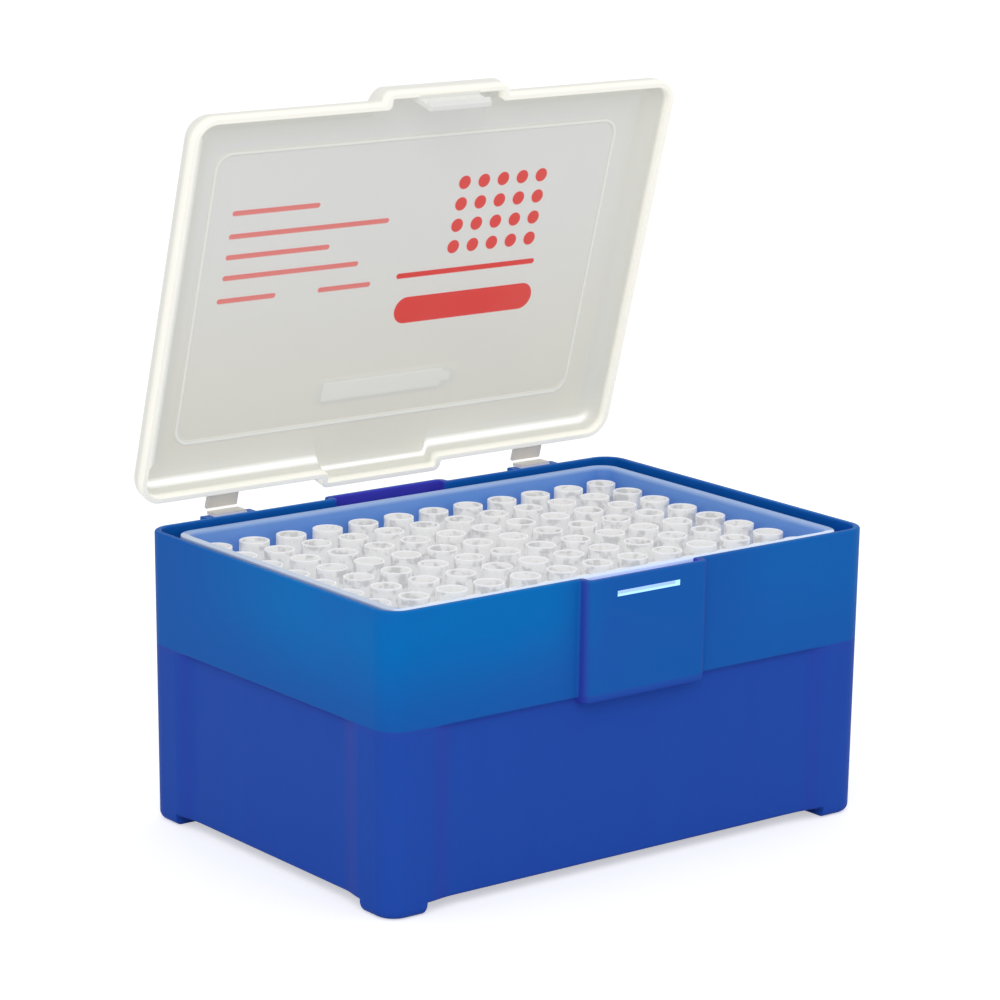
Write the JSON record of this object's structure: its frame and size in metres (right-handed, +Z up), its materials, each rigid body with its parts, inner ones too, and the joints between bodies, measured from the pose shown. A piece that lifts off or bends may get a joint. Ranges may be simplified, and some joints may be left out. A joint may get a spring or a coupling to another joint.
{
  "type": "pipette tip box",
  "caption": "Hinged plastic box with a rack insert that carries a full grid of pipette tips, with a shallow snap lid on film hinges.",
  "frame": {"origin": "on the ground under the middle of the base", "axes": "+X along the long side, -Y towards the side with the latch slot, +Z up"},
  "size_m": [0.1204, 0.0935, 0.147],
  "materials": {
    "base_blue": "translucent blue polypropylene, satin gloss",
    "rack_white": "opaque white polypropylene",
    "lid_milky": "milky translucent polypropylene",
    "tip_natural": "natural clear polypropylene"
  },
  "bodies": {
    "base": {"box_base": "base_blue", "rack_insert": "rack_white", "hinge_anchor_left": "lid_milky", "hinge_anchor_right": "lid_milky", "tips_column_01": "tip_natural", "tips_column_02": "tip_natural", "tips_column_03": "tip_natural", "tips_column_04": "tip_natural", "tips_column_05": "tip_natural", "tips_column_06": "tip_natural", "tips_column_07": "tip_natural", "tips_column_08": "tip_natural", "tips_column_09": "tip_natural", "tips_column_10": "tip_natural", "tips_column_11": "tip_natural", "tips_column_12": "tip_natural"},
    "lid": {"lid": "lid_milky"}
  },
  "joints": [
    {"name": "lid_hinge", "type": "hinge", "parent": "base", "child": "lid", "pos_m": [0, 0.0449, 0.0607], "axis": [-1, 0, 0], "range_deg": [-74.6, 105.4]}
  ]
}
